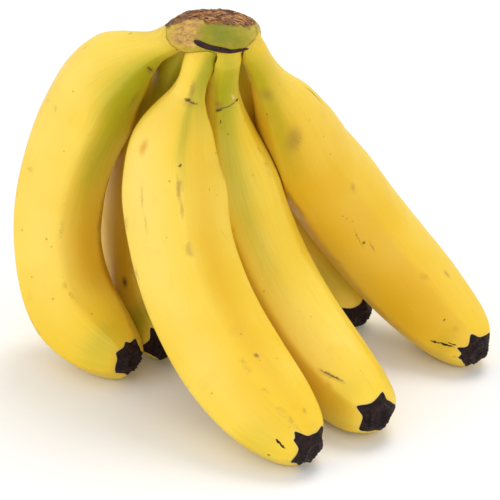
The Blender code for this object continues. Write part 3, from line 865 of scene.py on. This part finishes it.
def make_crown(material):
    """The turned cushion, sunk and roughened where it was cut and where the rind is torn off."""
    turns, angles = np.meshgrid(
        TURN * np.arange(CROWN_COLUMNS) / CROWN_COLUMNS,
        np.linspace(0.006, math.pi - 0.02, CROWN_ROWS),
    )
    across = np.sin(angles) * crown_reach(angles)
    plain = crown_surface(turns, angles)
    ragged = 0.05 * mottle(plain, 1.6 * MM, 21) + 0.03 * mottle(plain, 0.7 * MM, 22)
    upper = smooth_step((math.pi * 0.56 - angles) / 0.2)
    inside_cut = cut_edge(turns) + ragged - across
    cut = smooth_step(inside_cut / 0.05 + 0.5) * upper
    lip = np.exp(-((inside_cut / 0.045) ** 2)) * upper
    leftward = np.exp(-((round_gap(turns, 233) / 22) ** 4))
    torn = leftward * smooth_step((across - cut_edge(turns) - ragged) / 0.05)
    torn = torn * smooth_step((1.95 - angles + 2 * ragged) / 0.2)
    stretched = plain / np.array([3.2, 0.9, 0.8])
    fibres = mottle(stretched, MM, 23) + 0.6 * mottle(stretched, 0.45 * MM, 24)
    slant = np.array([[0.8, 0.6, 0], [-0.6, 0.8, 0], [0, 0, 1]])
    slanted = plain @ slant.T / np.array([3.5, 0.8, 1.2])
    strands = mottle(slanted, MM, 25) + 0.5 * mottle(slanted, 0.5 * MM, 26)
    pits = smooth_step((mottle(plain, 2.6 * MM, 27) - 0.15) / 0.4)
    sink = cut * (0.75 + 0.4 * fibres + 0.8 * pits) + torn * (0.3 + 0.22 * strands) - lip * 0.15 * (1 - torn)
    sink = sink + (1 - cut) * 0.06 * (1 + mottle(plain, 4 * MM, 28)) + 0.02
    sink = np.maximum(sink, 0.03) * MM
    points = crown_surface(turns, angles, sink)
    layers = {
        "cut": cut, "torn": torn, "lip": lip * 0.45 * (1 - torn * 0.6),
        "grey": np.exp(-((round_gap(turns, 150) / 60) ** 2)) * smooth_step((across - 0.35) / 0.3),
        "leafy": 0.75 * np.exp(-((round_gap(turns, 285) / 22) ** 2)) * smooth_step((1.9 - angles) / 0.5),
        "sunny": np.clip(np.exp(-((round_gap(turns, 345) / 26) ** 2))
                         + np.exp(-((round_gap(turns, 90) / 50) ** 2)) * 0.6, 0, 1),
        "tawny": np.exp(-((round_gap(turns, 205) / 42) ** 4)) * 0.85,
    }
    top = points[0].mean(axis=0)
    points, layers = points[::-1], {key: value[::-1] for key, value in layers.items()}
    bottom = crown_surface(np.array([0.0]), np.array([math.pi]), np.array([0.3 * MM]))[0]
    make_piece("crown_body", points, bottom, top, material, "crown", layers=layers)


def make_tubes(name, routes, widths, sides, material, solid):
    """Closed thin tubes as one mesh: a ring of points square to each route at every point of it, narrowing
    to a tip at both ends. routes: tubes x points x 3, widths: tubes x points."""
    ahead = np.gradient(routes, axis=1)
    ahead /= np.linalg.norm(ahead, axis=-1, keepdims=True)
    across = np.cross(ahead, np.array([0.21, 0.33, 0.92]))
    across /= np.linalg.norm(across, axis=-1, keepdims=True)
    other = np.cross(ahead, across)
    turn = TURN * np.arange(sides) / sides
    ring = np.cos(turn)[:, None] * across[:, :, None] + np.sin(turn)[:, None] * other[:, :, None]
    rings = routes[:, :, None] + ring * widths[:, :, None, None]
    count, along = routes.shape[:2]
    ends = np.stack([routes[:, 0] - ahead[:, 0] * 1e-4, routes[:, -1] + ahead[:, -1] * 1e-4], axis=1)
    points = np.concatenate([rings.reshape(-1, 3), ends.reshape(-1, 3)])
    index = np.arange(count * along * sides).reshape(count, along, sides)
    following = np.roll(index, -1, axis=2)
    quads = np.stack([index[:, :-1], following[:, :-1], following[:, 1:], index[:, 1:]], axis=-1)
    poles = count * along * sides + np.arange(count * 2).reshape(count, 2, 1)
    start, end = (np.broadcast_to(poles[:, which], (count, sides)) for which in range(2))
    first = np.stack([start, following[:, 0], index[:, 0]], -1)
    last = np.stack([end, index[:, -1], following[:, -1]], -1)
    faces = quads.reshape(-1, 4).tolist() + first.reshape(-1, 3).tolist() + last.reshape(-1, 3).tolist()
    mesh = bpy.data.meshes.new(name)
    mesh.from_pydata(points.tolist(), [], faces)
    keep_piece(name, mesh, material, solid)


def make_crown_fibres(material):
    """Short dry strands that curl over the cut, each along an arc of the crown's own surface."""
    rng = np.random.default_rng(5)
    count, along = 110, 12
    place = rng.uniform(0, TURN, count)
    out = np.sqrt(rng.uniform(0.0, 1, count)) * cut_edge(place) * 0.9
    x, y = out * np.cos(place), out * np.sin(place)
    heading = rng.normal(0.15, 0.55, count)
    bend = rng.normal(0, 1.3, count)
    length = rng.uniform(0.12, 0.42, count)
    step = np.linspace(-0.5, 0.5, along)
    angle = heading[:, None] + bend[:, None] * step
    x = x[:, None] + np.cumsum(np.cos(angle), axis=1) * length[:, None] / along
    y = y[:, None] + np.cumsum(np.sin(angle), axis=1) * length[:, None] / along
    across = np.clip(np.hypot(x, y), 0, 0.93)
    turns = np.arctan2(y, x)
    fine = np.linspace(0, math.pi / 2, 400)
    angles = np.interp(across, np.sin(fine) * crown_reach(fine), fine)
    arch = rng.uniform(0.1, 0.4, count)[:, None] * np.cos(math.pi * step) ** 2
    height = 0.55 - arch + rng.uniform(0, 0.25, count)[:, None]
    routes = crown_surface(turns, angles, height * MM)
    widths = rng.uniform(0.09, 0.2, count)[:, None] * MM * (0.35 + 0.65 * np.cos(math.pi * step) ** 0.5)
    make_tubes("crown_fibres", routes, widths, 5, material, "crown")


def make_crown_scar(material):
    """The thick dried edge that the rind ends in at the front, thinning out round the right side."""
    step = np.linspace(0, 1, 90)
    turns = np.radians(250 + 126 * step)
    angles = np.interp(step, [0, 0.12, 0.35, 0.6, 0.8, 1], [1.5, 1.76, 2.1, 2.16, 1.98, 1.66])
    wide = np.interp(step, [0, 0.04, 0.3, 0.55, 0.75, 1], [0.6, 1.15, 1.1, 0.75, 0.42, 0.24]) * MM
    route = crown_surface(turns, angles, np.full(len(step), -0.05 * MM))
    make_tubes("crown_scar", route[None], wide[None], 14, material, "crown")


# ---- the stage

def make_floor():
    """A wide, plain, nearly white surface."""
    bpy.ops.mesh.primitive_circle_add(vertices=96, radius=3, fill_type="NGON", location=(0, 0, -0.0001))
    floor = bpy.context.object
    floor.name = "floor"
    material, tree, _ = new_material("floor_white")
    set_surface(tree, (0.87, 0.865, 0.86, 1), 0.9, 0.1)
    floor.data.materials.append(material)


def make_light(name, place, aim, size, power):
    """A round lamp at the place, turned to face the aim."""
    light = bpy.data.lights.new(name, "AREA")
    light.shape = "DISK"
    light.size = size
    light.energy = power
    holder = bpy.data.objects.new(name, light)
    holder.location = place
    way = np.array(aim) - np.array(place)
    holder.rotation_euler = (
        math.acos(-way[2] / np.linalg.norm(way)),
        0,
        math.atan2(way[0], -way[1]) + math.pi,
    )
    bpy.context.scene.collection.objects.link(holder)


def make_camera():
    """Looks along +Y and down, at a point below the crown."""
    tilt, far = math.radians(26), 0.8
    aim = CROWN_MIDDLE + np.array([14.8, -0.5, -94.5]) * MM
    camera = bpy.data.cameras.new("camera")
    camera.lens = 140.7
    camera.sensor_width = 36
    camera.clip_start = 0.05
    holder = bpy.data.objects.new("camera", camera)
    holder.location = aim + far * np.array([0, -math.cos(tilt), math.sin(tilt)])
    holder.rotation_euler = (math.pi / 2 - tilt, 0, 0)
    bpy.context.scene.collection.objects.link(holder)
    bpy.context.scene.camera = holder


def make_world(strength):
    """Even white light from all round."""
    world = bpy.data.worlds.new("studio")
    bpy.context.scene.world = world
    world.use_nodes = True
    background = world.node_tree.nodes["Background"]
    background.inputs["Color"].default_value = (1, 1, 1, 1)
    background.inputs["Strength"].default_value = strength


crown_low, crown_high = (np.array(corner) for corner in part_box("crown"))
CROWN_MIDDLE = (crown_low + crown_high) / 2
LINES = {fruit.name: fruit_line(fruit, CROWN_MIDDLE) for fruit in FRUITS}
OUTLINES = {fruit.name: ridged_outline(fruit) for fruit in FRUITS}

blossom = blossom_material()
for number, fruit in enumerate(FRUITS):
    make_peel(fruit, FRUITS[:number])
    make_blossom_end(fruit, blossom)
make_crown(crown_material())
make_crown_fibres(fibre_material())
make_crown_scar(scar_material())

make_floor()
make_world(0.84)
make_light("key", (0.7, 1.2, 3.3), (0, 0, 0.05), 1.8, 46)
make_light("left_fill", (-1.2, -0.5, 0.5), (0, 0, 0.07), 0.9, 4.3)
make_light("front_fill", (0.5, -1.25, 0.5), (0, 0, 0.06), 1.0, 5)
make_camera()
bpy.context.scene.view_settings.view_transform = "Standard"
